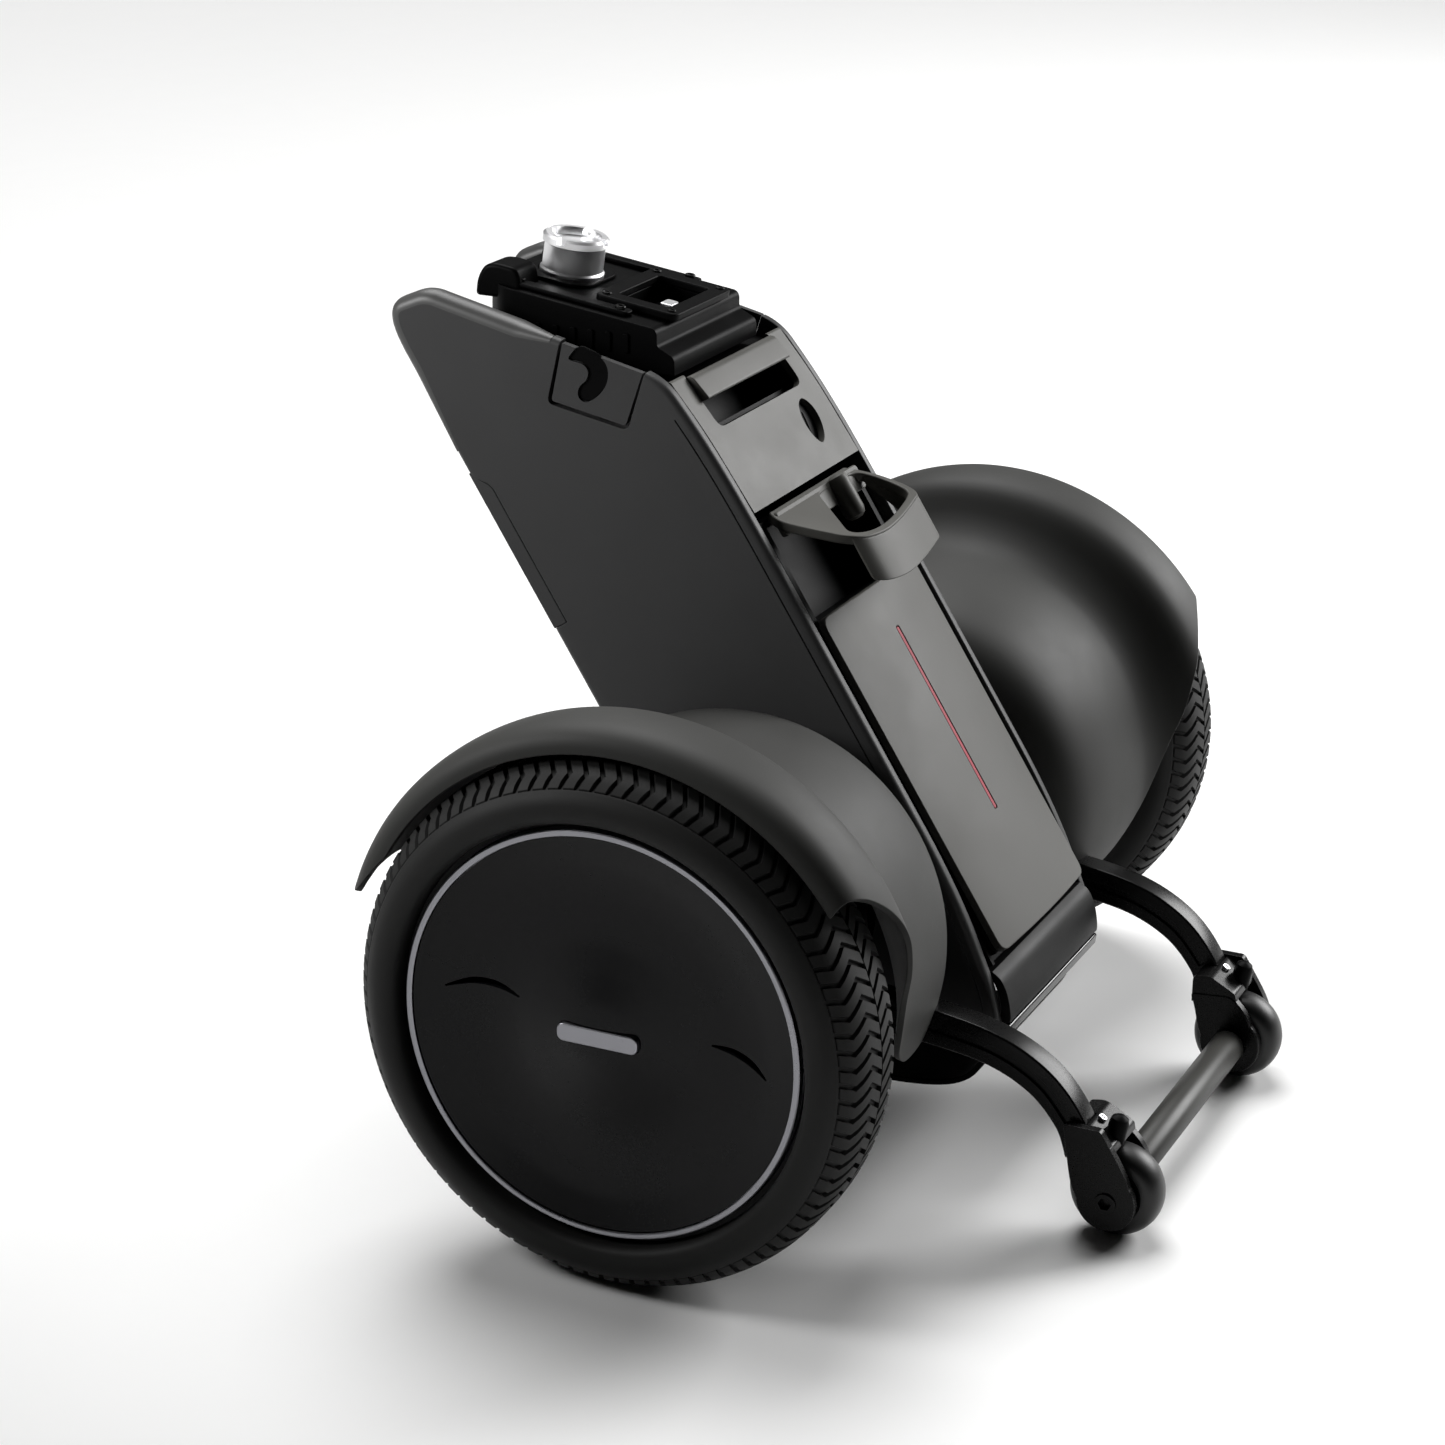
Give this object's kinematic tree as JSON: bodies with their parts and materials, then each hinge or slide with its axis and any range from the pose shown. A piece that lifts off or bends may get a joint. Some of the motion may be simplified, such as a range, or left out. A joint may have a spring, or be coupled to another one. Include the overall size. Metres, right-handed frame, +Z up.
{
  "type": "wheelchair rear drive base",
  "caption": "Two-wheel powered drive base of a mobility chair with fenders, leaning body, pull-out battery, docking pin on top and two roller arms behind.",
  "frame": {"origin": "on the floor under the middle of the whole object's box", "axes": "+X along the axle to the object's right, +Y forward, the way the body leans, +Z up"},
  "size_m": [0.5516, 0.4484, 0.4494],
  "materials": {
    "satin_charcoal": "satin moulded plastic with a fine grain",
    "warm_grey": "satin warm grey moulded plastic",
    "gloss_black": "glossy near-black moulded plastic",
    "matt_black": "matt black moulded plastic, lightly grained",
    "arm_black": "matt black powder-coated steel",
    "tyre_rubber": "dark grey tyre rubber",
    "roller_rubber": "black polyurethane rubber",
    "bright_steel": "polished bright steel",
    "trim_silver": "bright silver trim",
    "motor_steel": "turned steel housing",
    "alloy": "cast and extruded aluminium alloy",
    "accent_red": "dull red inlay",
    "cell_pack": "heat-shrink wrapped cells",
    "circuit": "green circuit board"
  },
  "bodies": {
    "base": {"battery_tray": "matt_black", "belly_pan": "matt_black", "chassis_frame": "alloy", "connector_contact_left": "bright_steel", "connector_contact_right": "bright_steel", "connector_frame": "satin_charcoal", "connector_socket": "gloss_black", "control_board": "circuit", "cross_bar": "arm_black", "docking_bracket": "matt_black", "docking_pin": "bright_steel", "drive_motor_left": "motor_steel", "drive_motor_right": "motor_steel", "fender_left": "satin_charcoal", "fender_right": "satin_charcoal", "front_cover": "satin_charcoal", "gearbox_left": "alloy", "gearbox_right": "alloy", "key_port_plug": "roller_rubber", "lower_lip": "gloss_black", "lower_trim": "satin_charcoal", "motor_controller": "alloy", "rear_upper_cover": "warm_grey", "release_pocket": "matt_black", "roller_bracket_left": "arm_black", "roller_bracket_right": "arm_black", "roller_pin_left": "bright_steel", "roller_pin_right": "bright_steel", "side_panel_left": "satin_charcoal", "side_panel_right": "satin_charcoal", "support_arm_left": "arm_black", "support_arm_right": "arm_black", "top_deck": "matt_black"},
    "battery": {"battery_case": "matt_black", "battery_cells": "cell_pack", "battery_face": "warm_grey", "battery_stripe": "accent_red", "battery_handle": "warm_grey"},
    "release": {"release_bar": "warm_grey"},
    "latch_left": {"latch_button_left": "matt_black"},
    "latch_right": {"latch_button_right": "matt_black"},
    "wheel_left": {"tyre_left": "tyre_rubber", "rim_left": "alloy", "wheel_cover_left": "gloss_black", "cover_ring_left": "trim_silver", "hub_badge_left": "trim_silver", "axle_shaft_left": "bright_steel"},
    "wheel_right": {"tyre_right": "tyre_rubber", "rim_right": "alloy", "wheel_cover_right": "gloss_black", "cover_ring_right": "trim_silver", "hub_badge_right": "trim_silver", "axle_shaft_right": "bright_steel"},
    "roller_left": {"roller_tyre_left": "roller_rubber", "roller_hub_left": "matt_black"},
    "roller_right": {"roller_tyre_right": "roller_rubber", "roller_hub_right": "matt_black"}
  },
  "joints": [
    {"name": "left_wheel_spin", "type": "hinge", "parent": "base", "child": "wheel_left", "pos_m": [0, 0.0034, 0.1325], "axis": [1, 0, 0], "continuous": true},
    {"name": "right_wheel_spin", "type": "hinge", "parent": "base", "child": "wheel_right", "pos_m": [0, 0.0034, 0.1325], "axis": [1, 0, 0], "continuous": true},
    {"name": "left_roller_spin", "type": "hinge", "parent": "base", "child": "roller_left", "pos_m": [0, -0.2002, 0.024], "axis": [1, 0, 0], "continuous": true},
    {"name": "right_roller_spin", "type": "hinge", "parent": "base", "child": "roller_right", "pos_m": [0, -0.2002, 0.024], "axis": [1, 0, 0], "continuous": true},
    {"name": "battery_pull", "type": "slide", "parent": "base", "child": "battery", "axis": [0, -0.8387, 0.5446], "range_m": [0, 0.12]},
    {"name": "release_pull", "type": "hinge", "parent": "base", "child": "release", "pos_m": [0, 0.06324, 0.39173], "axis": [-1, 0, 0], "range_deg": [0, 30], "stiffness_Nm_per_rad": 0.1},
    {"name": "left_latch_press", "type": "slide", "parent": "base", "child": "latch_left", "axis": [1, 0, 0], "range_m": [0, 0.003], "stiffness_N_per_m": 300},
    {"name": "right_latch_press", "type": "slide", "parent": "base", "child": "latch_right", "axis": [-1, 0, 0], "range_m": [0, 0.003], "stiffness_N_per_m": 300}
  ]
}
